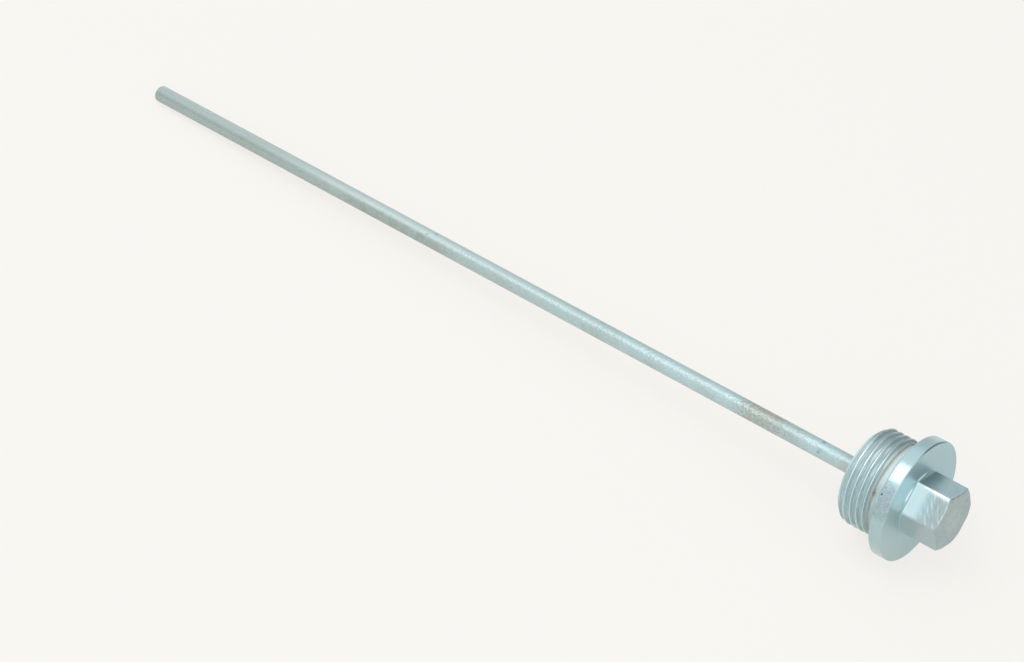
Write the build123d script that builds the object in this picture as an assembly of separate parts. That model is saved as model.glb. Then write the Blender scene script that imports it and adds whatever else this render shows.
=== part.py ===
"""Engine oil dipstick of the screw-plug kind.

A plug turned from one bar carries a milled hexagon, a round flange, a thread relief and a parallel thread.
A long round rod is fixed in a blind bore in the plug's threaded end. Unscrewed and laid down, the dipstick rolls
on its round flange, so it is modelled standing on the hexagon's end, with the rod pointing straight up.
"""
from build123d import *
import math
import os

# Hexagon, milled from a turned boss that is left standing as a low round shoulder at its root
hexagon_sides = 6
hexagon_across_flats = 16.0
hexagon_height = 10.7
hexagon_end_diameter = 16.6
hexagon_chamfer_angle = 30.0
boss_diameter = 18.6
shoulder_height = 0.3

# Flange that the sealing ring bears on
flange_diameter = 35.0
flange_thickness = 4.0
flange_edge_break = 0.35

# Thread relief between the flange and the thread, with a 45 degree wall on the thread's side
relief_diameter = 25.2
relief_width = 4.6
relief_corner_radius = 0.6

# Threaded shank: 28 mm thread of 2 mm pitch, at the cylinder over its crests
thread_diameter = 28.0
thread_length = 8.8
thread_lead_in = 1.9

# Rod, seated in a drilled blind bore
rod_diameter = 5.0
rod_free_length = 261.5
rod_tip_chamfer = 0.7
rod_seat_depth = 12.0
rod_seat_clearance = 0.02
drill_point_angle = 118.0

# Heights up the axis, from the hexagon's end on the ground to the rod's tip
flange_base = hexagon_height
hexagon_root = flange_base - shoulder_height
sealing_face = flange_base + flange_thickness
thread_start = sealing_face + relief_width
thread_end = thread_start + thread_length
rod_seat = thread_end - rod_seat_depth
rod_tip = thread_end + rod_free_length

boss_radius = boss_diameter / 2
flange_radius = flange_diameter / 2
relief_radius = relief_diameter / 2
thread_radius = thread_diameter / 2
rod_radius = rod_diameter / 2
bore_radius = rod_radius + rod_seat_clearance / 2


def half_section(points):
    """Face beside the axis, from (radius, height) points."""
    return make_face(Polyline(*[(radius, 0, height) for radius, height in points], close=True))


def turned(section):
    """Solid of revolution about the upright axis."""
    return revolve(section, axis=Axis.Z)


def threaded_body():
    """Flange, relief and shank in one turning, with rounded corners at the bottom of the relief."""
    relief_slope = thread_radius - relief_radius
    section = half_section([
        (0, flange_base),
        (flange_radius - flange_edge_break, flange_base),
        (flange_radius, flange_base + flange_edge_break),
        (flange_radius, sealing_face - flange_edge_break),
        (flange_radius - flange_edge_break, sealing_face),
        (relief_radius, sealing_face),
        (relief_radius, thread_start - relief_slope),
        (thread_radius, thread_start),
        (thread_radius, thread_end - thread_lead_in),
        (thread_radius - thread_lead_in, thread_end),
        (0, thread_end),
    ])
    corners = section.vertices().filter_by(lambda corner: math.isclose(corner.X, relief_radius, abs_tol=1e-6))
    return turned(fillet(corners, relief_corner_radius))


def milled_hexagon():
    """Boss turned with an end chamfer, then milled to six flats up to its round shoulder."""
    end_radius = hexagon_end_diameter / 2
    chamfer_height = (boss_radius - end_radius) * math.tan(math.radians(hexagon_chamfer_angle))
    boss = turned(half_section([
        (0, 0),
        (end_radius, 0),
        (boss_radius, chamfer_height),
        (boss_radius, flange_base),
        (0, flange_base),
    ]))
    flats = RegularPolygon(hexagon_across_flats / 2, hexagon_sides, major_radius=False)
    waste = extrude(Circle(boss_diameter) - flats, hexagon_root)
    return boss - waste


def rod_bore():
    """Blind bore for the rod, with the cone that a drill leaves at its bottom."""
    point_length = bore_radius / math.tan(math.radians(drill_point_angle / 2))
    return turned(half_section([
        (0, rod_seat - point_length),
        (bore_radius, rod_seat),
        (bore_radius, thread_end),
        (0, thread_end),
    ]))


def dipstick_rod():
    """Round rod with a chamfered tip, driven in as far as the bore's full diameter reaches."""
    return turned(half_section([
        (0, rod_seat),
        (rod_radius, rod_seat),
        (rod_radius, rod_tip - rod_tip_chamfer),
        (rod_radius - rod_tip_chamfer, rod_tip),
        (0, rod_tip),
    ]))


screw_plug = threaded_body() + milled_hexagon() - rod_bore()

os.makedirs("parts", exist_ok=True)
export_step(screw_plug, "parts/screw_plug.step")
export_step(dipstick_rod(), "parts/dipstick_rod.step")
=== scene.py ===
"""Looks of an engine oil dipstick of the screw-plug kind, dressed round its packed CAD frame.

In its own frame the dipstick stands on its hexagon with the rod straight up. The photograph shows it lying
on a pale table, on the flange's rim and the rod's tip, so the stage is laid out on that table and then
carried into the standing frame by one matrix.
"""
import math

import bpy
import numpy as np
from mathutils import Matrix, Vector


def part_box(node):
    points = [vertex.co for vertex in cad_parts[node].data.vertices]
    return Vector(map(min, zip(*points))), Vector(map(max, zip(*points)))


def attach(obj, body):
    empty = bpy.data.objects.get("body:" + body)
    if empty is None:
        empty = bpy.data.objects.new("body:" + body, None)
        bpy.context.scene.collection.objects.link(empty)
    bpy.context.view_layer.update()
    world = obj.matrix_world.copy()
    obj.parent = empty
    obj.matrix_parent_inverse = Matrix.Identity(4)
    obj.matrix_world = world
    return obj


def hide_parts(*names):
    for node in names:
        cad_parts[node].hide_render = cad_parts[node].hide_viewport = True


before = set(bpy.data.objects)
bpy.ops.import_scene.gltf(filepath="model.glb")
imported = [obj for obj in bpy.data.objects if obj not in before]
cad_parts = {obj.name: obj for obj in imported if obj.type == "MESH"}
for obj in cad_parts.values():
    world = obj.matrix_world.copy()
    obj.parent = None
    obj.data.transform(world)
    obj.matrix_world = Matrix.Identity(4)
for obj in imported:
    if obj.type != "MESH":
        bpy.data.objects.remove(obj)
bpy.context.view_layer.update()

bl_info = {
    "name": "Engine oil dipstick",
    "version": (1, 0, 0),
    "blender": (4, 5, 0),
    "location": "View3D > Sidebar > Dipstick",
    "description": "Builds a zinc-plated screw-plug dipstick and the stage it is shown on",
    "category": "Object",
}

MM = 0.001
UP = Vector((0, 0, 1))
PLUG_NODE, ROD_NODE = "screw_plug", "dipstick_rod"
plug_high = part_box(PLUG_NODE)[1]
rod_low, rod_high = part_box(ROD_NODE)

# Sockets of a colour Mix node, which has several sockets of the same name
MIX_FACTOR, MIX_A, MIX_B, MIX_RESULT = 0, 6, 7, 2


def linear(colour):
    """Linear RGBA of an sRGB hex colour."""
    shares = [int(colour[i:i + 2], 16) / 255 for i in (1, 3, 5)]
    return [s / 12.92 if s <= 0.04045 else ((s + 0.055) / 1.055) ** 2.4 for s in shares] + [1.0]


def length(name, description, default):
    """A size in metres that a user may change."""
    return bpy.props.FloatProperty(
        name=name, description=description, default=default, unit="LENGTH", precision=5)


def angle(name, description, degrees):
    """An angle that a user may change."""
    return bpy.props.FloatProperty(
        name=name, description=description, default=math.radians(degrees), subtype="ANGLE")


def level(name, description, default):
    """A brightness that a user may change."""
    return bpy.props.FloatProperty(name=name, description=description, default=default)


def tint(name, description, colour):
    """A colour that a user may change."""
    return bpy.props.FloatVectorProperty(
        name=name, description=description, default=linear(colour), size=4, subtype="COLOR", min=0, max=1)


class PlugSizes(bpy.types.PropertyGroup):
    """Sizes of the turned, milled and threaded plug."""
    hexagon_across_flats: length("Across flats", "Width of the hexagon between opposite flats", 16.0 * MM)
    hexagon_edge_radius: length("Edge radius", "Rounding of the hexagon's plated edges", 0.4 * MM)
    hexagon_wear: length("Wear", "Depth of the facet that wrenches have worn on one edge", 0.15 * MM)
    hexagon_worn_edge: angle("Worn edge", "Direction of the edge that is worn", 240)
    hexagon_worn_side: angle("Worn side", "Direction that the worn facet faces", 230)
    hexagon_end_radius: length("End radius", "Radius of the hexagon's end face inside its chamfer", 8.3 * MM)
    hexagon_chamfer: angle("End chamfer", "Slope of the chamfer on the hexagon's end", 30)
    shoulder_radius: length("Shoulder radius", "Radius of the round shoulder at the hexagon's root", 9.3 * MM)
    shoulder_height: length("Shoulder height", "Height of the round shoulder", 0.3 * MM)
    flange_base: length("Flange base", "Height of the flange's face on the hexagon's side", 10.7 * MM)
    flange_radius: length("Flange radius", "Outer radius of the flange", plug_high.x)
    flange_thickness: length("Flange thickness", "Thickness of the flange", 4.0 * MM)
    flange_edge: length("Flange edge", "Rounding of the flange's edges", 0.35 * MM)
    relief_radius: length("Relief radius", "Radius at the bottom of the thread relief", 12.6 * MM)
    relief_width: length("Relief width", "Width of the thread relief, with its sloping wall", 4.6 * MM)
    relief_corner: length("Relief corner", "Corner radius at the bottom of the relief", 0.6 * MM)
    plug_height: length("Plug height", "Height of the plug's threaded end", plug_high.z)
    bore_radius: length("Bore radius", "Radius of the blind bore that the rod sits in", 2.51 * MM)
    drill_point: angle("Drill point", "Angle of the cone at the bottom of the bore", 118)
    edge_break: length("Edge break", "Breaking of the plug's other edges", 0.15 * MM)


class ThreadSizes(bpy.types.PropertyGroup):
    """Sizes of the screw thread."""
    major_radius: length("Major radius", "Radius over the thread's crests", 14.0 * MM)
    pitch: length("Pitch", "Rise of the thread in one turn", 2.0 * MM)
    depth: length("Depth", "Depth of the groove", 0.85 * MM)
    crest_flat: length("Crest flat", "Width of the flat on the crest", 0.24 * MM)
    crest_round: length("Crest rounding", "Depth over which the crest is rounded", 0.18 * MM)
    root_round: length("Root rounding", "Depth over which the root is rounded", 0.55 * MM)
    lead_in: length("Lead-in", "Height of the chamfer at the thread's free end", 1.9 * MM)
    wobble: length("Wobble", "Unevenness of the plated crests", 0.05 * MM)
    wobble_size: length("Wobble size", "Breadth of the dips that make the crests uneven", 3.5 * MM)
    first_crest: length("First crest", "Height of the lowest crest on the side it is set from", 19.65 * MM)
    crest_side: angle("Crest side", "Direction round the axis in which the first crest is set", 232.9)


class RodSizes(bpy.types.PropertyGroup):
    """Sizes of the drawn rod."""
    radius: length("Radius", "Radius of the rod", rod_high.x)
    seat: length("Seat", "Height of the rod's inner end", rod_low.z)
    tip: length("Tip", "Height of the rod's free end", rod_high.z)
    tip_round: length("Tip rounding", "Rounding at the rod's free end", 0.7 * MM)


class ZincColours(bpy.types.PropertyGroup):
    """Colours of the zinc plating, of what has stained it, and of the painted light and shade on it."""
    bright: tint("Bright plate", "Blue-bright zinc where it is clean", "#A6C4CB")
    dull: tint("Dull plate", "Zinc dulled to grey-green by handling and air", "#AEBEBB")
    # Also painted light in the relief, near the flange on the middle flat and on the rod's upper side
    milky_and_lit: tint("Milky plate", "Zinc under a thick milky film", "#CBDCDE")
    # Also painted highlights on the shoulder, the thread's lit crests and flanks, and the hexagon's worn edge
    rubbed_and_highlight: tint("Rubbed plate", "Zinc rubbed white on worn edges and crests", "#D8E5E7")
    groove: tint("Grooves", "Even matt zinc on the thread's flanks and roots", "#93ABAE")
    grey: tint("Bare grey", "Zinc worn thin to its grey underlayer", "#8C9BA0")
    # Also painted shade on the flange's front edge, the thread's upper side, the hexagon's upper corner and
    # the rod
    dirt_and_shade: tint("Dirt", "Dark dirt in pits and corners", "#4A5356")
    beige: tint("Beige stain", "Dry oil film in the thread relief", "#B7B2A2")
    ochre: tint("Ochre stain", "Rusty line at the foot of the relief's wall", "#96805A")
    rod_bright: tint("Bright rod", "Zinc on the rod near the plug", "#A6BDC0")
    rod_dull: tint("Dull rod", "Zinc on the rod towards its tip", "#94A19C")
    brown: tint("Brown stain", "Oily brown film on the rod", "#9E9A8D")
    olive: tint("Olive stain", "Grey-green film on one side of the rod", "#8B988F")
    dent: tint("Knocks", "Blue-grey bottoms of small knocks in the rod", "#7B939E")


class StageSettings(bpy.types.PropertyGroup):
    """Table, light and camera."""
    table_colour: tint("Table", "Colour of the table and the background", "#F3F1ED")
    lens: bpy.props.FloatProperty(
        name="Lens", description="Focal length in millimetres on a 36 mm wide sensor", default=108.51,
        min=20, max=300)
    lamp_radiance: level("Lamp", "Brightness of the lamp over the rod", 2.1)
    fill_radiance: level("Fill", "Brightness of the lamp at the camera", 2.6)
    room_level: level("Room", "Brightness of the room's walls", 0.92)


GROUPS = {
    "dipstick_plug": PlugSizes,
    "dipstick_thread": ThreadSizes,
    "dipstick_rod": RodSizes,
    "dipstick_zinc": ZincColours,
    "dipstick_stage": StageSettings,
}


def node(tree, kind, inputs=None, **settings):
    """Add a node to a tree. Settings are its own properties. Inputs are its sockets, each with a value or
    with another node's output."""
    made = tree.nodes.new(kind)
    for name, value in settings.items():
        setattr(made, name, value)
    for socket, value in (inputs or {}).items():
        if isinstance(value, bpy.types.NodeSocket):
            tree.links.new(value, made.inputs[socket])
        else:
            made.inputs[socket].default_value = value
    return made


def polar(radius, degrees, height):
    """Point at an angle round the upright axis."""
    turn = math.radians(degrees)
    return Vector((radius * math.cos(turn), radius * math.sin(turn), height))


# Meshes

# Finishes of the plug's faces, in the order of its material slots
TURNED, THREADED, MILLED, FACED = range(4)
HEXAGON_SECTOR = math.radians(60)
# Edges that turn more sharply than this stay hard
CREASE = math.radians(38)


def turned_mesh(name, angles, rows):
    """Closed mesh of rings round the upright axis. Each row has a radius and a height, the same all round or
    one for each angle, and the finish of the faces that end in it. The first and the last row are points on
    the axis."""
    count = len(angles)
    rings = rows[1:-1]
    points = np.zeros((len(rings), count, 3))
    for ring, (radius, height, _) in zip(points, rings):
        ring[:, 0] = radius * np.cos(angles)
        ring[:, 1] = radius * np.sin(angles)
        ring[:, 2] = height
    first, last = len(rings) * count, len(rings) * count + 1
    vertices = np.vstack([points.reshape(-1, 3), (0, 0, rows[0][1]), (0, 0, rows[-1][1])])
    here = np.arange(count)
    beside = (here + 1) % count
    faces = [(first, a, b) for a, b in zip(here, beside)]
    finishes = [rows[1][2]] * count
    for number in range(len(rings) - 1):
        upper, lower = number * count, (number + 1) * count
        faces += zip(upper + here, lower + here, lower + beside, upper + beside)
        finishes += [rings[number + 1][2]] * count
    edge = (len(rings) - 1) * count
    faces += [(edge + a, last, edge + b) for a, b in zip(here, beside)]
    finishes += [rows[-1][2]] * count
    mesh = bpy.data.meshes.new(name)
    mesh.from_pydata(vertices.tolist(), [], [tuple(int(i) for i in face) for face in faces])
    mesh.polygons.foreach_set("material_index", finishes)
    mesh.polygons.foreach_set("use_smooth", [True] * len(faces))
    mesh.update()
    return mesh


def arc(centre, radius, start, end, steps):
    """Points of an arc in a half section, from one angle in degrees to another."""
    turns = np.radians(np.linspace(start, end, steps))
    return [(centre[0] + radius * math.cos(turn), centre[1] + radius * math.sin(turn)) for turn in turns]


def with_finish(points, finish):
    """Rows from the points of a half section."""
    return [(radius, height, finish) for radius, height in points]


def bore_rows(plug, thread):
    """Rows up the rod's bore and over the plug's threaded end."""
    top, bore, small = plug.plug_height, plug.bore_radius, plug.edge_break
    drilled = rod_low.z - bore / math.tan(plug.drill_point / 2)
    points = [(0, drilled), (bore, rod_low.z), (bore, top - small), (bore + small, top)]
    end_edge = thread.major_radius - thread.lead_in - small
    points += [(radius, top) for radius in np.linspace(bore + small, end_edge, 7)[1:]]
    return with_finish(points, TURNED)


def shank_rows(plug, thread):
    """Rows of the blank that the thread is cut into, and of the relief with its 45 degree wall."""
    crest, bottom, corner = thread.major_radius, plug.relief_radius, plug.relief_corner
    sealing_face = plug.flange_base + plug.flange_thickness
    thread_start = sealing_face + plug.relief_width
    thread_full = plug.plug_height - thread.lead_in
    wall_foot = thread_start - (crest - bottom)
    tangent = corner * math.tan(math.radians(45) / 2)
    wall_end = wall_foot + tangent * math.cos(math.radians(45))
    rows_per_turn = 30
    points = []
    for height in np.arange(plug.plug_height - plug.edge_break / 2, wall_end, -thread.pitch / rows_per_turn):
        points.append((min(crest, crest - (height - thread_full), crest - (thread_start - height)), height))
    points += arc((bottom + corner, wall_foot - tangent), corner, 135, 180, 6)
    points += [(bottom, height) for height in np.linspace(wall_foot - tangent, sealing_face + corner, 8)[1:]]
    points += arc((bottom + corner, sealing_face + corner), corner, 180, 270, 8)[1:]
    return with_finish(points, THREADED)


def flange_rows(plug):
    """Rows over the flange, from the relief to the shoulder at the hexagon's root."""
    front, back = plug.flange_base, plug.flange_base + plug.flange_thickness
    rim, edge = plug.flange_radius, plug.flange_edge
    shoulder, soft = plug.shoulder_radius, plug.shoulder_height / 5
    root = front - plug.shoulder_height
    back_from = plug.relief_radius + plug.relief_corner
    points = [(radius, back) for radius in np.linspace(back_from, rim - edge, 8)[1:]]
    points += arc((rim - edge, back - edge), edge, 90, 0, 6)[1:]
    points += [(rim, height) for height in np.linspace(back - edge, front + edge, 12)[1:]]
    points += arc((rim - edge, front + edge), edge, 0, -90, 6)[1:]
    points += [(radius, front) for radius in np.linspace(rim - edge, shoulder + soft, 14)[1:]]
    points += arc((shoulder + soft, front - soft), soft, 90, 180, 4)[1:]
    points += arc((shoulder - soft, root + soft), soft, 0, -90, 4)
    return with_finish(points, TURNED)


def facet_distance(plug, wear):
    """Distance from the axis to the facet on the hexagon's worn edge, by the depth of its wear."""
    corner = plug.hexagon_across_flats / 2 / math.cos(HEXAGON_SECTOR / 2)
    return corner * math.cos(plug.hexagon_worn_edge - plug.hexagon_worn_side) - wear


def hexagon_radius(plug, angles, wear):
    """Radius at each angle of a hexagon with rounded edges, one of them worn down to a narrow facet. A corner
    lies at angle zero."""
    half, edge = plug.hexagon_across_flats / 2, plug.hexagon_edge_radius
    half_sector = HEXAGON_SECTOR / 2
    from_corner = np.abs((angles + half_sector) % HEXAGON_SECTOR - half_sector)
    flat = half / np.cos(half_sector - from_corner)
    centre = (half - edge) / math.cos(half_sector)
    reach = np.maximum(edge ** 2 - (centre * np.sin(from_corner)) ** 2, 0)
    rounded = centre * np.cos(from_corner) + np.sqrt(reach)
    tangent = half_sector - math.atan2(centre * math.sin(half_sector), half)
    hexagon = np.where(from_corner < tangent, np.minimum(rounded, flat), flat)
    # Past 60 degrees from the way it faces, the facet plays no part
    facet = facet_distance(plug, wear)
    return np.minimum(hexagon, facet / np.maximum(np.cos(angles - plug.hexagon_worn_side), 0.5))


def hexagon_rows(plug, angles):
    """Rows down the hexagon's flats and over its chamfer to the middle of its end."""
    small = plug.edge_break
    root = plug.flange_base - plug.shoulder_height
    # The wear grows towards the hexagon's end, which wrenches grip most
    flats = [hexagon_radius(plug, angles, plug.hexagon_wear * share) for share in np.linspace(0.75, 1, 12)]
    first, last = flats[0], flats[-1]
    chamfer = np.maximum(last - plug.hexagon_end_radius, 0) * math.tan(plug.hexagon_chamfer)
    upper, lower = root - small / 3, chamfer + small
    brink = np.minimum(last, plug.hexagon_end_radius)
    rows = [
        (first + small / 3, root, TURNED),
        (first + small / 10, root - small / 10, MILLED),
        (first, upper, MILLED),
    ]
    shares = np.linspace(0, 1, len(flats))
    rows += [(flat, upper + (lower - upper) * share, MILLED) for flat, share in zip(flats[1:], shares[1:])]
    # The chamfer and its two edges, which are a little broken
    rows += [
        (last - 0.12 * small, chamfer + 0.45 * small, MILLED),
        ((last + brink) / 2 - 0.35 * small, chamfer / 2 + 0.2 * small, FACED),
        (brink - 0.6 * small, 0.08 * small, FACED),
    ]
    rows += [((brink - small) * share, 0, FACED) for share in (1, 0.9, 0.75, 0.55, 0.35, 0.15, 0)]
    return rows


def plug_angles():
    """Angles of the plug's columns, closer together at the hexagon's edges."""
    near = [0, 0.5, 1.0, 1.6, 2.2, 2.8, 3.4, 4.2]
    middle = np.linspace(near[-1], 60 - near[-1], 35)[1:-1].tolist()
    sector = near + middle + [60 - offset for offset in near[:0:-1]]
    return np.radians([60 * side + offset for side in range(6) for offset in sector])


def rod_rows(rod):
    """Rows down the rod, from its rounded tip to its seat. It has one finish."""
    round_from = rod.radius - rod.tip_round
    full_from = rod.tip - rod.tip_round
    points = [(0, rod.tip), (0.5 * round_from, rod.tip)]
    points += arc((round_from, full_from), rod.tip_round, 90, 0, 8)
    rings = 138
    points += [(rod.radius, height) for height in np.linspace(full_from, rod.seat, rings)[1:]]
    points += [(0.5 * rod.radius, rod.seat), (0, rod.seat)]
    return with_finish(points, 0)


def thread_tool():
    """Geometry nodes that cut a right-hand screw thread into a turned blank, as a threading tool does."""
    tree = bpy.data.node_groups.new("thread_tool", "GeometryNodeTree")
    tree.interface.new_socket("Geometry", in_out="INPUT", socket_type="NodeSocketGeometry")
    for name in ("Major radius", "Pitch", "Depth", "Crest flat", "Crest rounding", "Root rounding", "Wobble",
                 "Wobble size", "First crest", "Crest side", "Cut from"):
        tree.interface.new_socket(name, in_out="INPUT", socket_type="NodeSocketFloat")
    tree.interface.new_socket("Finish", in_out="INPUT", socket_type="NodeSocketMaterial")
    tree.interface.new_socket("Geometry", in_out="OUTPUT", socket_type="NodeSocketGeometry")
    given = node(tree, "NodeGroupInput").outputs
    place = node(tree, "GeometryNodeInputPosition").outputs[0]
    x, y, z = node(tree, "ShaderNodeSeparateXYZ", {0: place}).outputs
    flat = node(tree, "ShaderNodeCombineXYZ", {"X": x, "Y": y}).outputs[0]
    radius = node(tree, "ShaderNodeVectorMath", {0: flat}, operation="LENGTH").outputs["Value"]
    # Turns round the axis, counted from the side on which the first crest is set
    angle_here = node(tree, "ShaderNodeMath", {0: y, 1: x}, operation="ARCTAN2").outputs[0]
    swept = node(tree, "ShaderNodeMath", {0: angle_here, 1: given["Crest side"]},
                 operation="SUBTRACT").outputs[0]
    turns = node(tree, "ShaderNodeMath", {0: swept, 1: math.tau}, operation="DIVIDE").outputs[0]
    # Height above the helix in pitches, folded into the distance from the nearest crest
    above = node(tree, "ShaderNodeMath", {0: z, 1: given["First crest"]}, operation="SUBTRACT").outputs[0]
    pitches = node(tree, "ShaderNodeMath", {0: above, 1: given["Pitch"]}, operation="DIVIDE").outputs[0]
    phase = node(tree, "ShaderNodeMath", {0: pitches, 1: turns}, operation="SUBTRACT").outputs[0]
    folded = node(tree, "ShaderNodeMath", {0: phase, 1: 0.5}, operation="PINGPONG").outputs[0]
    away = node(tree, "ShaderNodeMath", {0: folded, 1: given["Pitch"]}, operation="MULTIPLY").outputs[0]
    half_flat = node(tree, "ShaderNodeMath", {0: given["Crest flat"], 1: 2}, operation="DIVIDE").outputs[0]
    beside = node(tree, "ShaderNodeMath", {0: away, 1: half_flat}, operation="SUBTRACT").outputs[0]
    # Flanks at 60 degrees to each other, with rounded crests and roots
    flank = node(tree, "ShaderNodeMath", {0: beside, 1: math.sqrt(3)}, operation="MULTIPLY").outputs[0]
    crested = node(tree, "ShaderNodeMath", {0: flank, 1: 0.0, 2: given["Crest rounding"]},
                   operation="SMOOTH_MAX").outputs[0]
    cut = node(tree, "ShaderNodeMath", {0: crested, 1: given["Depth"], 2: given["Root rounding"]},
               operation="SMOOTH_MIN").outputs[0]
    # Dips a few millimetres across, as thick plating leaves them
    per_metre = node(tree, "ShaderNodeMath", {0: 1.0, 1: given["Wobble size"]}, operation="DIVIDE").outputs[0]
    ripple = node(tree, "ShaderNodeTexNoise", {"Vector": place, "Scale": per_metre, "Detail": 2.0}).outputs[0]
    dips = node(tree, "ShaderNodeMath", {0: ripple, 1: given["Wobble"]}, operation="MULTIPLY").outputs[0]
    worn = node(tree, "ShaderNodeMath", {0: cut, 1: dips}, operation="ADD").outputs[0]
    tooth = node(tree, "ShaderNodeMath", {0: given["Major radius"], 1: worn}, operation="SUBTRACT").outputs[0]
    left = node(tree, "ShaderNodeMath", {0: radius, 1: tooth}, operation="MINIMUM").outputs[0]
    shrink = node(tree, "ShaderNodeMath", {0: left, 1: radius}, operation="DIVIDE").outputs[0]
    moved = node(tree, "ShaderNodeVectorMath", {0: flat, "Scale": shrink}, operation="SCALE").outputs[0]
    moved_x, moved_y, _ = node(tree, "ShaderNodeSeparateXYZ", {0: moved}).outputs
    cut_place = node(tree, "ShaderNodeCombineXYZ", {"X": moved_x, "Y": moved_y, "Z": z}).outputs[0]
    in_cut = node(tree, "FunctionNodeCompare", {0: z, 1: given["Cut from"]},
                  operation="GREATER_THAN").outputs[0]
    shaped = node(tree, "GeometryNodeSetPosition",
                  {"Geometry": given["Geometry"], "Selection": in_cut, "Position": cut_place}).outputs[0]
    real = node(tree, "GeometryNodeRealizeInstances", {"Geometry": shaped}).outputs[0]
    slot_number = node(tree, "GeometryNodeInputMaterialIndex").outputs[0]
    on_thread = node(tree, "FunctionNodeCompare", {2: slot_number, 3: THREADED}, data_type="INT",
                     operation="EQUAL").outputs[0]
    finished = node(tree, "GeometryNodeSetMaterial",
                    {"Geometry": real, "Selection": on_thread, "Material": given["Finish"]}).outputs[0]
    node(tree, "NodeGroupOutput", {"Geometry": finished})
    return tree


def settled(piece, tree, values):
    """Run a geometry node tree on a piece and keep the result as its plain mesh."""
    modifier = piece.modifiers.new(tree.name, "NODES")
    modifier.node_group = tree
    for item in tree.interface.items_tree:
        if item.item_type == "SOCKET" and item.in_out == "INPUT" and item.name in values:
            modifier[item.identifier] = values[item.name]
    bpy.context.view_layer.update()
    evaluated = piece.evaluated_get(bpy.context.evaluated_depsgraph_get())
    mesh = bpy.data.meshes.new_from_object(evaluated)
    piece.modifiers.remove(modifier)
    piece.data = mesh


def dressed(name, mesh, materials):
    """Piece at the origin with its materials in the order of its finishes."""
    for material in materials:
        mesh.materials.append(material)
    piece = bpy.data.objects.new(name, mesh)
    bpy.context.scene.collection.objects.link(piece)
    return piece


def stand_for(piece, node_name):
    """Crease the piece's hard edges, and let it ride on the frame in place of its CAD node."""
    piece.data.set_sharp_from_angle(angle=CREASE)
    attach(piece, "root")
    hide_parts(node_name)


# Finishes. Sizes and places in them are in millimetres, and directions round the axis in degrees

# Directions that the three flats in view face
LOWER_FLAT, MIDDLE_FLAT, UPPER_FLAT = 150, 210, 270

# Smudges at the foot of the relief's wall: direction, height above the foot, size and strength
FOOT_MARKS = ((193.6, 0.1, 0.5, 0.45), (196.8, 0.2, 0.6, 0.65), (200.0, 0.3, 0.5, 0.4), (283, 0.9, 0.8, 0.7))

# Knocks and smudges on the rod: direction, height, size and strength
ROD_MARKS = (
    (266, 41.7, 0.9, 0.75), (187, 41.6, 0.8, 0.6), (200, 41.4, 1.2, 0.3),
    (236, 180.2, 0.4, 0.5), (229, 180.5, 0.45, 0.7), (222, 180.8, 0.4, 0.6), (264, 178.1, 0.9, 0.45),
    (233, 115.9, 0.4, 0.3), (221, 116.6, 0.4, 0.35), (207, 117.5, 0.4, 0.25), (186, 121.7, 0.9, 0.3),
    (180, 147.8, 0.7, 0.4), (204, 197.0, 0.8, 0.3), (250, 58.7, 0.6, 0.35), (168, 61.6, 0.5, 0.4),
)


def all_of(tree, first, *others):
    """Mask of where all of some masks are, weakened by any numbers among them."""
    for mask in others:
        first = node(tree, "ShaderNodeMath", {0: first, 1: mask}, operation="MULTIPLY").outputs[0]
    return first


def any_of(tree, first, *others):
    """Mask of where any of some masks is."""
    for mask in others:
        first = node(tree, "ShaderNodeMath", {0: first, 1: mask}, operation="MAXIMUM").outputs[0]
    return first


def stained(tree, colour, stain, *masks):
    """Colour with a stain laid over it where all of the masks are."""
    return node(tree, "ShaderNodeMix", {MIX_FACTOR: all_of(tree, *masks), MIX_A: colour, MIX_B: stain},
                data_type="RGBA").outputs[MIX_RESULT]


def towards(tree, place, direction, start, end, first=0.0, last=1.0):
    """Value that goes smoothly from a first to a last one from a start to an end in a direction."""
    reach = node(tree, "ShaderNodeVectorMath", {0: place, 1: direction},
                 operation="DOT_PRODUCT").outputs["Value"]
    return node(tree, "ShaderNodeMapRange",
                {"Value": reach, "From Min": start, "From Max": end, "To Min": first, "To Max": last},
                interpolation_type="SMOOTHSTEP").outputs[0]


def on_side(tree, place, degrees, start, full):
    """Mask of the side that faces a direction round the axis, by how far out towards it a point lies."""
    return towards(tree, place, polar(1, degrees, 0), start, full)


def off_axis(tree, place, start, end, first=0.0, last=1.0):
    """Value that goes smoothly from a first to a last one from one distance off the axis to another."""
    across = node(tree, "ShaderNodeVectorMath", {0: place, 1: (1, 1, 0)}, operation="MULTIPLY").outputs[0]
    radius = node(tree, "ShaderNodeVectorMath", {0: across}, operation="LENGTH").outputs["Value"]
    return node(tree, "ShaderNodeMapRange",
                {"Value": radius, "From Min": start, "From Max": end, "To Min": first, "To Max": last},
                interpolation_type="SMOOTHSTEP").outputs[0]


def belt(tree, place, middle, full, faded):
    """Mask of a belt round the axis: 1 within one distance of its middle height and 0 past another."""
    height = node(tree, "ShaderNodeSeparateXYZ", {0: place}).outputs["Z"]
    off = node(tree, "ShaderNodeMath", {0: height, 1: middle}, operation="SUBTRACT").outputs[0]
    off = node(tree, "ShaderNodeMath", {0: off}, operation="ABSOLUTE").outputs[0]
    return node(tree, "ShaderNodeMapRange", {"Value": off, "From Min": faded, "From Max": full},
                interpolation_type="SMOOTHSTEP").outputs[0]


def uneven(tree, place, size, reach):
    """Place shifted this way and that by up to a reach, so that marks drawn with it have ragged outlines."""
    noise = node(tree, "ShaderNodeTexNoise", {"Vector": place, "Scale": 1 / size, "Detail": 4.0})
    shift = node(tree, "ShaderNodeVectorMath", {0: noise.outputs["Color"], 1: (0.5, 0.5, 0.5)},
                 operation="SUBTRACT").outputs[0]
    return node(tree, "ShaderNodeVectorMath", {0: shift, 1: [2 * reach] * 3, 2: place},
                operation="MULTIPLY_ADD").outputs[0]


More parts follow.
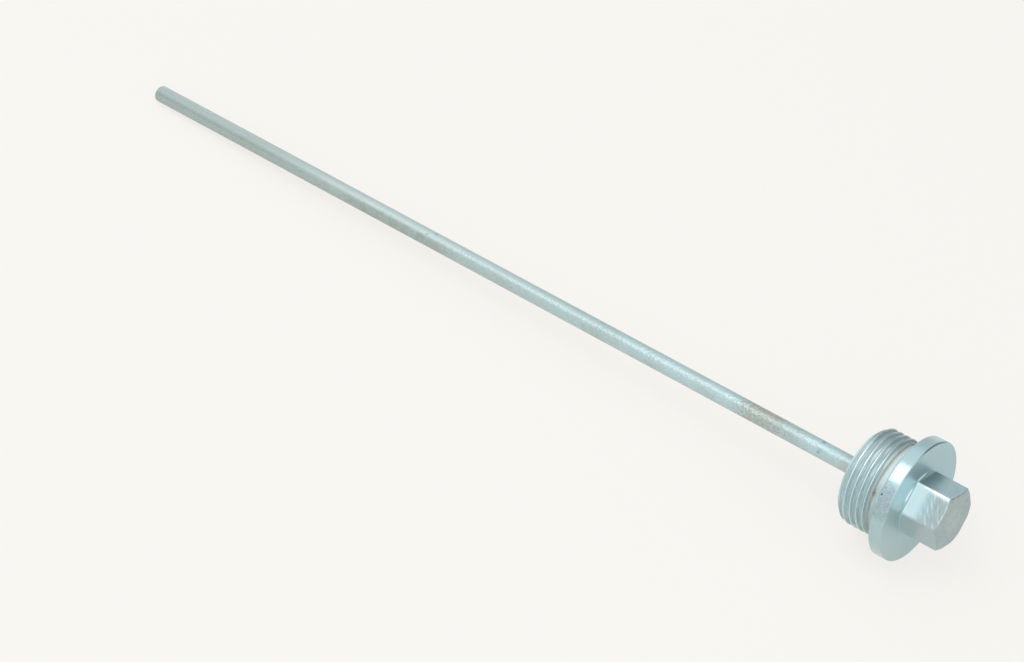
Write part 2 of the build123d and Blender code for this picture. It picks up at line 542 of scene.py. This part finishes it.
def spots(tree, place, marks):
    """Mask with a spot at each mark, faded at its edge. A mark is a point, a size and a strength."""
    masks = []
    for centre, size, strength in marks:
        away = node(tree, "ShaderNodeVectorMath", {0: place, 1: centre}, operation="DISTANCE")
        masks.append(node(tree, "ShaderNodeMapRange",
                          {"Value": away.outputs["Value"], "From Min": 0.3 * size, "From Max": size,
                           "To Min": strength, "To Max": 0.0},
                          interpolation_type="SMOOTHSTEP").outputs[0])
    return any_of(tree, *masks)


def speckle(tree, place, size, low, high, detail=3.0):
    """Patches of about a size: 0 where a noise is under one level, 1 where it is over the other."""
    noise = node(tree, "ShaderNodeTexNoise", {"Vector": place, "Scale": 1 / size, "Detail": detail})
    return node(tree, "ShaderNodeMapRange",
                {"Value": noise.outputs[0], "From Min": low, "From Max": high}).outputs[0]


def zinc_plate(name, clean, dulled, cloud_size):
    """Start of a zinc plating: steel dipped in a zinc bath and passivated, a soft bluish mirror with grey
    clouds. Gives the material, the place in mm and the clouded colour."""
    material = bpy.data.materials.new(name)
    material.use_nodes = True
    tree = material.node_tree
    tree.nodes.clear()
    place = node(tree, "ShaderNodeTexCoord").outputs["Object"]
    place = node(tree, "ShaderNodeVectorMath", {0: place, "Scale": 1 / MM}, operation="SCALE").outputs[0]
    return material, place, stained(tree, clean, dulled, speckle(tree, place, cloud_size, 0.5, 0.8))


def plated(material, colour, roughness, height, depth, metallic):
    """End of a zinc plating: a metal shader with the colour, roughness and relief that the finish has worked
    out. It is not all metal, because the thin passive film over the zinc is a little milky and scatters
    light."""
    tree = material.node_tree
    bump = node(tree, "ShaderNodeBump",
                {"Height": height, "Strength": 1.0, "Distance": depth * MM}).outputs[0]
    metal = node(tree, "ShaderNodeBsdfPrincipled",
                 {"Base Color": colour, "Metallic": metallic, "Roughness": roughness, "Normal": bump})
    node(tree, "ShaderNodeOutputMaterial", {"Surface": metal.outputs[0]})
    return material


def turned_zinc(zinc, plug):
    """Zinc over a turned surface: satin faces that are duller on one side, two stretches of the shoulder's
    edge painted white as highlights, a thin line of painted shade along the flange's front edge, and a smooth
    rim that is worn grey and finely pitted in one place."""
    material, place, colour = zinc_plate("zinc_plate_on_turned_steel", zinc.bright, zinc.dull, 9.0)
    tree = material.node_tree
    rim, front, shoulder = plug.flange_radius / MM, plug.flange_base / MM, plug.shoulder_radius / MM
    colour = stained(tree, colour, zinc.dull, on_side(tree, place, 130, 2.0, 12.0), 0.4)
    # Painted highlights: two stretches of the shoulder's rounded edge painted white
    highlight_arcs = any_of(tree, *[on_side(tree, place, middle, shoulder - 0.25, shoulder - 0.1)
                          for middle in (214, 254)])
    colour = stained(tree, colour, zinc.rubbed_and_highlight, highlight_arcs, off_axis(tree, place, shoulder + 0.3, shoulder + 0.1),
                     towards(tree, place, UP, front + 1.3, front + 0.3))
    # Painted shade: a thin dark line on the upper stretch of the flange's front edge
    colour = stained(tree, colour, zinc.dirt_and_shade, belt(tree, place, front + 0.1, 0.1, 0.3),
                     off_axis(tree, place, rim - 0.45, rim - 0.3),
                     on_side(tree, place, 273, rim - 1.8, rim - 0.5), 0.65)
    # Worn stretch of the rim, with grey speckles about half a millimetre across
    on_rim = off_axis(tree, place, rim - 0.3, rim - 0.05)
    worn = all_of(tree, on_side(tree, place, 199, rim - 1.1, rim - 0.5), on_rim)
    mottle = speckle(tree, place, 0.55, 0.3, 0.7, detail=4.0)
    colour = stained(tree, colour, zinc.grey, mottle, worn, 0.85)
    pit = (polar(rim, 202.8, front + 3.4), 0.4, 1.0)
    colour = stained(tree, colour, zinc.dirt_and_shade, spots(tree, place, [pit]))
    grain = speckle(tree, place, 0.9, 0.0, 1.0)
    height = node(tree, "ShaderNodeMath", {0: mottle, 1: worn, 2: grain}, operation="MULTIPLY_ADD").outputs[0]
    smooth = node(tree, "ShaderNodeMath", {0: on_rim, 1: worn}, operation="SUBTRACT").outputs[0]
    roughness = node(tree, "ShaderNodeMapRange", {"Value": smooth, "To Min": 0.42, "To Max": 0.22},
                     interpolation_type="SMOOTHSTEP").outputs[0]
    return plated(material, colour, roughness, height, 0.008, 0.78)


def threaded_zinc(zinc, plug, thread):
    """Zinc over a cut thread and its relief: narrow bright crests, even matt grooves with fine lines along
    them, painted shade on the upper side, painted highlights on the crests and flanks beside it that face the
    lamp, painted light in the relief, and a thin beige film in the relief."""
    material, place, colour = zinc_plate("zinc_plate_on_cut_thread", zinc.bright, zinc.dull, 5.0)
    tree = material.node_tree
    crest, bottom = thread.major_radius / MM, plug.relief_radius / MM
    wall_foot = (plug.flange_base + plug.flange_thickness + plug.relief_width) / MM - (crest - bottom)
    deep = off_axis(tree, place, crest - 0.1, crest - 0.4)
    colour = stained(tree, colour, zinc.milky_and_lit, 0.6)
    colour = stained(tree, colour, zinc.groove, deep)
    # Lines along the ridges: a few millimetres long and a third of a millimetre wide
    along = node(tree, "ShaderNodeMapping", {"Vector": place, "Scale": (0.22, 0.22, 2.8)}).outputs[0]
    lines = all_of(tree, speckle(tree, along, 1.0, 0.35, 0.65), deep)
    colour = stained(tree, colour, zinc.grey, lines, 0.35)
    colour = stained(tree, colour, zinc.milky_and_lit, speckle(tree, along, 1.0, 0.44, 0.32), 0.5)
    # Painted shade over the thread's upper side, off the relief's floor
    colour = stained(tree, colour, zinc.dirt_and_shade, on_side(tree, place, 290, crest - 4.5, crest - 1.0),
                     off_axis(tree, place, bottom + 0.1, bottom + 0.4), 0.25)
    # Painted highlights: crests painted pale on the side that faces the lamp, and pale lines a quarter of a
    # millimetre wide along the flanks there
    lit_side = 233
    rubbed_and_highlight = on_side(tree, place, lit_side, crest - 0.6, crest - 0.25)
    colour = stained(tree, colour, zinc.rubbed_and_highlight, rubbed_and_highlight, 0.7)
    thin = node(tree, "ShaderNodeMapping", {"Vector": place, "Scale": (0.12, 0.12, 4.0)}).outputs[0]
    colour = stained(tree, colour, zinc.rubbed_and_highlight, speckle(tree, thin, 1.0, 0.5, 0.62),
                     on_side(tree, place, lit_side, crest - 2.2, crest - 1.1), 0.6)
    # Painted light: the relief is painted paler than the grooves, most of all on its upper side
    lit_paleness = node(tree, "ShaderNodeMapRange",
                    {"Value": on_side(tree, place, 255, 6.0, 11.0), "To Min": 0.2, "To Max": 0.75},
                    interpolation_type="SMOOTHSTEP").outputs[0]
    colour = stained(tree, colour, zinc.milky_and_lit, off_axis(tree, place, bottom + 0.35, bottom + 0.15), lit_paleness)
    # Film along the foot of the relief's wall, with a rusty tinge in places
    colour = stained(tree, colour, zinc.beige, belt(tree, place, wall_foot + 0.4, 0.4, 1.3),
                     speckle(tree, place, 3.0, 0.3, 0.6, detail=4.0), 0.35)
    colour = stained(tree, colour, zinc.ochre, belt(tree, place, wall_foot + 0.4, 0.2, 0.6),
                     speckle(tree, along, 0.8, 0.42, 0.62), 0.35)
    smudges = [(polar(bottom + 0.2, direction, wall_foot + above), size, strength)
               for direction, above, size, strength in FOOT_MARKS]
    colour = stained(tree, colour, zinc.dirt_and_shade, spots(tree, uneven(tree, place, 0.8, 0.4), smudges))
    metallic = node(tree, "ShaderNodeMapRange", {"Value": deep, "To Min": 0.8, "To Max": 0.1},
                    interpolation_type="SMOOTHSTEP").outputs[0]
    roughness = node(tree, "ShaderNodeMapRange", {"Value": deep, "To Min": 0.26, "To Max": 0.5},
                     interpolation_type="SMOOTHSTEP").outputs[0]
    return plated(material, colour, roughness, lines, 0.02, metallic)


def milled_zinc(zinc, plug):
    """Zinc over the milled flats. The middle flat in view is milky and painted pale as painted light near the
    flange, and streaked aslant towards the end, where the cutter and wrenches have marked it. The flat above
    it is darker in its corner by the flange, as painted shade, the one below is dull, and the edge between
    the upper two is worn to a narrow facet, which with a strip beside it is painted white as a highlight."""
    material, place, colour = zinc_plate("zinc_plate_on_milled_steel", zinc.bright, zinc.dull, 6.0)
    tree = material.node_tree
    half = plug.hexagon_across_flats / 2 / MM
    lower_flat, middle_flat, upper_flat = [on_side(tree, place, direction, half - 0.7, half - 0.2)
                                           for direction in (LOWER_FLAT, MIDDLE_FLAT, UPPER_FLAT)]
    # The end that wrenches grip is duller, and the flange's end milky and painted paler as painted light
    gripped = all_of(tree, middle_flat, towards(tree, place, UP, 6.0, 2.0))
    colour = stained(tree, colour, zinc.dull, gripped, 0.7)
    colour = stained(tree, colour, zinc.grey, gripped, 0.4)
    milky_and_lit = all_of(tree, middle_flat, towards(tree, place, UP, 5.0, 8.0))
    colour = stained(tree, colour, zinc.milky_and_lit, milky_and_lit, 0.9)
    # Cutter marks under a millimetre apart, at 29 degrees to the cross direction of the middle flat
    across = MIDDLE_FLAT - 90
    slant = polar(math.tan(math.radians(29)), across, 1.0)
    up = node(tree, "ShaderNodeVectorMath", {0: place, 1: slant}, operation="DOT_PRODUCT").outputs["Value"]
    side = node(tree, "ShaderNodeVectorMath", {0: place, 1: polar(0.25, across, 0)},
                operation="DOT_PRODUCT").outputs["Value"]
    strokes = node(tree, "ShaderNodeCombineXYZ", {"X": up, "Y": side}).outputs[0]
    clearest = node(tree, "ShaderNodeMapRange", {"Value": middle_flat, "To Min": 0.3, "To Max": 1.0},
                    interpolation_type="SMOOTHSTEP").outputs[0]
    marked = all_of(tree, towards(tree, place, UP, 7.5, 5.0), clearest)
    marks = all_of(tree, speckle(tree, strokes, 0.75, 0.5, 0.66, detail=4.0), marked)
    colour = stained(tree, colour, zinc.grey, marks, 0.5)
    pale_marks = speckle(tree, strokes, 0.75, 0.48, 0.34, detail=4.0)
    colour = stained(tree, colour, zinc.milky_and_lit, pale_marks, marked, 0.85)
    # Painted shade in the upper flat's corner by the flange
    colour = stained(tree, colour, zinc.dirt_and_shade, upper_flat, towards(tree, place, UP, 5.5, 10.0), 0.3)
    colour = stained(tree, colour, zinc.dull, lower_flat, 0.75)
    colour = stained(tree, colour, zinc.grey, lower_flat, towards(tree, place, UP, 5.0, 9.5, 0.45, 0.1))
    # The worn facet between the middle and the upper flat, and the strip beside it, both painted white as a
    # highlight
    worn = facet_distance(plug, plug.hexagon_wear) / MM
    facet = on_side(tree, place, math.degrees(plug.hexagon_worn_side), worn - 0.047, worn - 0.007)
    highlight_strip = all_of(tree, on_side(tree, place, MIDDLE_FLAT + 90, 3.2, 4.2), middle_flat,
                   towards(tree, place, UP, 8.5, 5.0, 0.0, 0.7))
    rubbed_and_highlight = any_of(tree, facet, highlight_strip)
    colour = stained(tree, colour, zinc.rubbed_and_highlight, rubbed_and_highlight)
    matt = any_of(tree, milky_and_lit, all_of(tree, lower_flat, 0.7), rubbed_and_highlight)
    metallic = node(tree, "ShaderNodeMapRange", {"Value": matt, "To Min": 0.78, "To Max": 0.35},
                    interpolation_type="SMOOTHSTEP").outputs[0]
    roughness = node(tree, "ShaderNodeMapRange", {"Value": marks, "To Min": 0.3, "To Max": 0.42},
                     interpolation_type="SMOOTHSTEP").outputs[0]
    return plated(material, colour, roughness, marks, 0.012, metallic)


def faced_zinc(zinc, plug):
    """Zinc over the faced-off end of the hexagon: matt grey-green, softly mottled and a little lighter in the
    middle, with small dints from knocks and specks of dirt along one edge."""
    material, place, colour = zinc_plate("zinc_plate_on_faced_end", zinc.dull, zinc.grey, 4.0)
    tree = material.node_tree
    half = plug.hexagon_across_flats / 2 / MM
    colour = stained(tree, colour, zinc.dull, 0.6)
    mottle = speckle(tree, place, 1.3, 0.3, 0.7)
    colour = stained(tree, colour, zinc.grey, mottle, 0.5)
    colour = stained(tree, colour, zinc.grey, off_axis(tree, place, 5.5, 2.5, 0.4, 0.15))
    colour = stained(tree, colour, zinc.grey, spots(tree, uneven(tree, place, 0.6, 0.2), [
        (polar(6.6, 322, 0), 0.5, 0.6), (polar(5.0, 75, 0), 0.4, 0.6), (polar(6.8, 20, 0), 0.35, 0.6)]))
    colour = stained(tree, colour, zinc.dirt_and_shade, on_side(tree, place, UPPER_FLAT, half - 0.4, half - 0.2),
                     speckle(tree, place, 0.8, 0.4, 0.55), 0.6)
    roughness = node(tree, "ShaderNodeMapRange", {"Value": mottle, "To Min": 0.42, "To Max": 0.52},
                     interpolation_type="SMOOTHSTEP").outputs[0]
    return plated(material, colour, roughness, mottle, 0.012, 0.6)


def drawn_zinc(zinc, rod):
    """Zinc over a drawn rod: bright near the plug and duller towards the tip, with a crystal sparkle, fine
    lines along it, a speckled brown film near the plug and a grey-green film further up on one side."""
    material, place, colour = zinc_plate("zinc_plate_on_drawn_rod", zinc.rod_bright, zinc.rod_dull, 14.0)
    tree = material.node_tree
    radius = rod.radius / MM
    colour = stained(tree, colour, zinc.rod_dull, towards(tree, place, UP, 60.0, 240.0, 0.0, 0.9))
    # Crystals a good half millimetre across
    crystals = speckle(tree, place, 0.65, 0.3, 0.7)
    colour = stained(tree, colour, zinc.milky_and_lit, crystals, 0.2)
    # Films with ragged ends: brown and speckled near the plug, grey-green further up on the lower side
    ragged = uneven(tree, place, 0.9, 9.0)
    brown_middle, olive_middle = 61.0, 191.0
    upper = on_side(tree, place, 275, radius - 1.1, radius - 0.2)
    thickness = node(tree, "ShaderNodeMapRange", {"Value": upper, "To Min": 0.55, "To Max": 0.75},
                     interpolation_type="SMOOTHSTEP").outputs[0]
    colour = stained(tree, colour, zinc.brown, belt(tree, ragged, brown_middle, 2.0, 10.0), thickness)
    colour = stained(tree, colour, zinc.dirt_and_shade, belt(tree, place, brown_middle, 6.0, 13.0),
                     speckle(tree, place, 0.6, 0.5, 0.6), 0.25)
    lower = on_side(tree, place, 175, radius - 0.8, radius - 0.35)
    colour = stained(tree, colour, zinc.olive, belt(tree, ragged, olive_middle, 16.0, 24.0), lower,
                     speckle(tree, place, 1.5, 0.2, 0.6), 0.7)
    colour = stained(tree, colour, zinc.beige, lower, towards(tree, place, UP, 38.0, 33.0), 0.3)
    # Painted light and shade: towards the tip the upper side is painted paler and the side below it darker
    colour = stained(tree, colour, zinc.milky_and_lit, on_side(tree, place, 265, radius - 1.5, radius - 0.2),
                     towards(tree, place, UP, 110.0, 190.0), 0.35)
    colour = stained(tree, colour, zinc.dirt_and_shade, on_side(tree, place, 224, radius - 0.6, radius - 0.1),
                     towards(tree, place, UP, 205.0, 250.0), 0.22)
    knocks = [(polar(radius, direction, height), size, strength)
              for direction, height, size, strength in ROD_MARKS]
    colour = stained(tree, colour, zinc.dent, spots(tree, uneven(tree, place, 0.7, 0.3), knocks))
    # Lines left by the drawing die, half a millimetre wide and 20 mm long. They and the crystals stand out
    # less further up the rod
    drawn = node(tree, "ShaderNodeMapping", {"Vector": place, "Scale": (2.0, 2.0, 0.05)}).outputs[0]
    lines = speckle(tree, drawn, 1.0, 0.2, 0.8, detail=2.0)
    height = node(tree, "ShaderNodeMath", {0: lines, 1: 0.3, 2: crystals},
                  operation="MULTIPLY_ADD").outputs[0]
    height = all_of(tree, height, towards(tree, place, UP, 90.0, 140.0, 1.0, 0.4))
    roughness = towards(tree, place, UP, 150.0, 280.0, 0.32, 0.5)
    return plated(material, colour, roughness, height, 0.09, 0.5)


# Stage, laid out in metres in the table's own axes: X runs along the dipstick towards the hexagon, Z points
# away from the table, and the origin is where the flange's rim touches it

# The hexagon corner that points most nearly straight up from the table, and how far off that it is
UP_CORNER = math.radians(240)
CORNER_OFF_UP = math.radians(10.669)

TABLE_CORNERS = ((-1.2, -1.0, 0), (0.9, -1.0, 0), (0.9, 1.0, 0), (-1.2, 1.0, 0))
ROD_LAMP_PLACE, ROD_LAMP_TARGET, ROD_LAMP_SIZE = (-0.29, -0.16, 0.7), (-0.29, -0.16, 0), (0.5, 0.455)
FILL_LAMP_PLACE, FILL_LAMP_TARGET, FILL_LAMP_SIZE = (0.27, -0.54, 0.6), (0, 0, 0), (0.3, 0.3)
CAMERA_PLACE = Vector((0.259516, -0.475082, 0.629231))
CAMERA_SIGHT = Vector((-0.44485, 0.53444, -0.71867))
SENSOR_WIDTH = 36

# The ground that the dipstick stands on in its own frame
GROUND_CORNERS = ((-1, -1, 0), (1, -1, 0), (1, 1, 0), (-1, 1, 0))

# Share of a board's look that is its own even tone, while the rest takes light and shadow
EVEN_SHARE = 0.85

# Sides of the room that are dimmer or brighter than the rest: direction in the table's axes, angles in
# degrees of full strength and of none, and change of level. The dimmest gives the dark reflections beside the
# hexagon, and the other dim one the darker upper edges. The brightest is on the camera's side.
ROOM_SIDES = (
    ((0.45, 0.85, 0.28), 14, 34, -0.65),
    ((-0.45, 0.40, 0.80), 12, 36, 0.2),
    ((-0.25, 0.95, 0.15), 15, 45, -0.2),
    ((0.65, -0.45, 0.55), 20, 55, 0.55),
)


def table_matrix(plug, rod):
    """Matrix from the table's own axes to the standing frame. The flange's rim touches the table where its
    edge rounding ends, and the rod's tip touches it at the end of the rod's full diameter."""
    rim_height = plug.flange_base + plug.flange_thickness - plug.flange_edge
    lean = math.atan2(plug.flange_radius - rod.radius, rod.tip - rod.tip_round - rim_height)
    turn = UP_CORNER + CORNER_OFF_UP
    out = Vector((math.cos(turn), math.sin(turn), 0))
    side = Vector((-math.sin(turn), math.cos(turn), 0))
    along = -math.cos(lean) * UP - math.sin(lean) * out
    away = math.cos(lean) * out - math.sin(lean) * UP
    touch = rim_height * UP - plug.flange_radius * out
    return Matrix.Translation(touch) @ Matrix((along, side, away)).transposed().to_4x4()


def looking(table, place, target):
    """Matrix of a camera or lamp at one point over the table, looking at another, with its top away from the
    table."""
    back = (Vector(place) - Vector(target)).normalized()
    right = UP.cross(back).normalized()
    if right.length == 0:
        # Straight down there is no upright side: the table's own X is taken
        right = Vector((1, 0, 0))
    turned = table.to_3x3() @ Matrix((right, back.cross(right), back)).transposed()
    return Matrix.Translation(table @ Vector(place)) @ turned.to_4x4()


def pale_surface(name, colour, only_camera):
    """Matt painted board: an even pale tone that keeps soft shadows, seen from its front only."""
    material = bpy.data.materials.new(name)
    material.use_nodes = True
    tree = material.node_tree
    tree.nodes.clear()
    rays = node(tree, "ShaderNodeLightPath").outputs
    seen = any_of(tree, rays["Is Camera Ray"], rays["Is Glossy Ray"], rays["Is Transmission Ray"])
    matt = node(tree, "ShaderNodeBsdfDiffuse", {"Color": colour}).outputs[0]
    tone = node(tree, "ShaderNodeEmission", {"Color": colour, "Strength": 1.0}).outputs[0]
    even = all_of(tree, seen, EVEN_SHARE)
    painted = node(tree, "ShaderNodeMixShader", {0: even, 1: matt, 2: tone}).outputs[0]
    clear = node(tree, "ShaderNodeBsdfTransparent").outputs[0]
    hidden = node(tree, "ShaderNodeNewGeometry").outputs["Backfacing"]
    if only_camera:
        other = node(tree, "ShaderNodeMath", {0: 1.0, 1: rays["Is Camera Ray"]}, operation="SUBTRACT")
        hidden = any_of(tree, hidden, other.outputs[0])
    shown = node(tree, "ShaderNodeMixShader", {0: hidden, 1: painted, 2: clear}).outputs[0]
    node(tree, "ShaderNodeOutputMaterial", {"Surface": shown})
    return material


def board(name, corners, material):
    """Flat board of the stage."""
    mesh = bpy.data.meshes.new(name)
    mesh.from_pydata([tuple(corner) for corner in corners], [], [tuple(range(len(corners)))])
    mesh.materials.append(material)
    piece = bpy.data.objects.new(name, mesh)
    bpy.context.scene.collection.objects.link(piece)


def softbox(name, size, radiance, matrix):
    """Rectangular lamp with an evenly bright face."""
    lamp = bpy.data.lights.new(name, "AREA")
    lamp.shape = "RECTANGLE"
    lamp.size, lamp.size_y = size
    lamp.energy = radiance * math.pi * lamp.size * lamp.size_y
    piece = bpy.data.objects.new(name, lamp)
    piece.matrix_world = matrix
    piece.visible_camera = False
    bpy.context.scene.collection.objects.link(piece)


def studio_world(table, colour, room_level):
    """Even pale surroundings with dimmer and brighter sides. The camera sees the table's colour all round."""
    world = bpy.data.worlds.new("studio")
    bpy.context.scene.world = world
    world.use_nodes = True
    tree = world.node_tree
    tree.nodes.clear()
    rays = node(tree, "ShaderNodeLightPath").outputs
    direction = node(tree, "ShaderNodeTexCoord").outputs["Generated"]
    strength = room_level
    for side, full, none, change in ROOM_SIDES:
        middle = table.to_3x3() @ Vector(side).normalized()
        edge, core = math.cos(math.radians(none)), math.cos(math.radians(full))
        shift = towards(tree, direction, middle, edge, core, 0.0, change)
        strength = node(tree, "ShaderNodeMath", {0: shift, 1: strength}, operation="ADD").outputs[0]
    room = node(tree, "ShaderNodeBackground", {"Color": (1, 1, 1, 1), "Strength": strength}).outputs[0]
    seen = node(tree, "ShaderNodeBackground", {"Color": colour, "Strength": 1.0}).outputs[0]
    shown = node(tree, "ShaderNodeMixShader", {0: rays["Is Camera Ray"], 1: room, 2: seen}).outputs[0]
    node(tree, "ShaderNodeOutputWorld", {"Surface": shown})


class DIPSTICK_OT_plug(bpy.types.Operator):
    """Build the turned, milled and threaded plug"""
    bl_idname = "dipstick.plug"
    bl_label = "Screw plug"

    def execute(self, context):
        scene = context.scene
        plug, thread, zinc = scene.dipstick_plug, scene.dipstick_thread, scene.dipstick_zinc
        angles = plug_angles()
        rows = bore_rows(plug, thread) + shank_rows(plug, thread)
        rows += flange_rows(plug) + hexagon_rows(plug, angles)
        finish = threaded_zinc(zinc, plug, thread)
        piece = dressed("plug_zinc_plated", turned_mesh("plug_blank", angles, rows), [
            turned_zinc(zinc, plug), finish, milled_zinc(zinc, plug), faced_zinc(zinc, plug)])
        settled(piece, thread_tool(), {
            "Major radius": thread.major_radius, "Pitch": thread.pitch, "Depth": thread.depth,
            "Crest flat": thread.crest_flat, "Crest rounding": thread.crest_round,
            "Root rounding": thread.root_round, "Wobble": thread.wobble, "Wobble size": thread.wobble_size,
            "First crest": thread.first_crest, "Crest side": thread.crest_side, "Finish": finish,
            "Cut from": plug.flange_base + plug.flange_thickness + plug.relief_corner,
        })
        stand_for(piece, PLUG_NODE)
        return {"FINISHED"}


class DIPSTICK_OT_rod(bpy.types.Operator):
    """Build the drawn rod"""
    bl_idname = "dipstick.rod"
    bl_label = "Rod"

    def execute(self, context):
        rod, zinc = context.scene.dipstick_rod, context.scene.dipstick_zinc
        columns = 72
        mesh = turned_mesh("rod_drawn", np.linspace(0, math.tau, columns, endpoint=False), rod_rows(rod))
        piece = dressed("rod_zinc_plated", mesh, [drawn_zinc(zinc, rod)])
        stand_for(piece, ROD_NODE)
        return {"FINISHED"}


class DIPSTICK_OT_stage(bpy.types.Operator):
    """Lay out the table, the ground, the light and the camera"""
    bl_idname = "dipstick.stage"
    bl_label = "Stage"

    def execute(self, context):
        scene = context.scene
        stage = scene.dipstick_stage
        table = table_matrix(scene.dipstick_plug, scene.dipstick_rod)
        paint = pale_surface("matt_white_board", stage.table_colour, False)
        board("table", [table @ Vector(corner) for corner in TABLE_CORNERS], paint)
        ground = pale_surface("matt_white_ground", stage.table_colour, True)
        board("ground", GROUND_CORNERS, ground)
        studio_world(table, stage.table_colour, stage.room_level)
        softbox("softbox_over_rod", ROD_LAMP_SIZE, stage.lamp_radiance,
                looking(table, ROD_LAMP_PLACE, ROD_LAMP_TARGET))
        softbox("softbox_at_camera", FILL_LAMP_SIZE, stage.fill_radiance,
                looking(table, FILL_LAMP_PLACE, FILL_LAMP_TARGET))
        eye = bpy.data.cameras.new("camera")
        eye.lens = stage.lens
        eye.sensor_width = SENSOR_WIDTH
        eye.clip_start, eye.clip_end = 0.01, 20
        camera = bpy.data.objects.new("camera", eye)
        camera.matrix_world = looking(table, CAMERA_PLACE, CAMERA_PLACE + CAMERA_SIGHT)
        scene.collection.objects.link(camera)
        scene.camera = camera
        scene.view_settings.view_transform = "Standard"
        return {"FINISHED"}


class DIPSTICK_PT_panel(bpy.types.Panel):
    """Sidebar panel with the builders and their sizes"""
    bl_idname = "DIPSTICK_PT_panel"
    bl_label = "Dipstick"
    bl_space_type = "VIEW_3D"
    bl_region_type = "UI"
    bl_category = "Dipstick"

    def draw(self, context):
        for operator in OPERATORS:
            self.layout.operator(operator.bl_idname)
        for name, group in GROUPS.items():
            column = self.layout.column(align=True)
            column.label(text=group.__doc__)
            for setting in group.__annotations__:
                column.prop(getattr(context.scene, name), setting)


OPERATORS = (DIPSTICK_OT_plug, DIPSTICK_OT_rod, DIPSTICK_OT_stage)
CLASSES = (*GROUPS.values(), *OPERATORS, DIPSTICK_PT_panel)


def register():
    for made in CLASSES:
        bpy.utils.register_class(made)
    for name, group in GROUPS.items():
        setattr(bpy.types.Scene, name, bpy.props.PointerProperty(type=group))


def unregister():
    for name in GROUPS:
        delattr(bpy.types.Scene, name)
    for made in reversed(CLASSES):
        bpy.utils.unregister_class(made)


def main():
    register()
    bpy.ops.dipstick.plug()
    bpy.ops.dipstick.rod()
    bpy.ops.dipstick.stage()


if __name__ == "__main__":
    main()
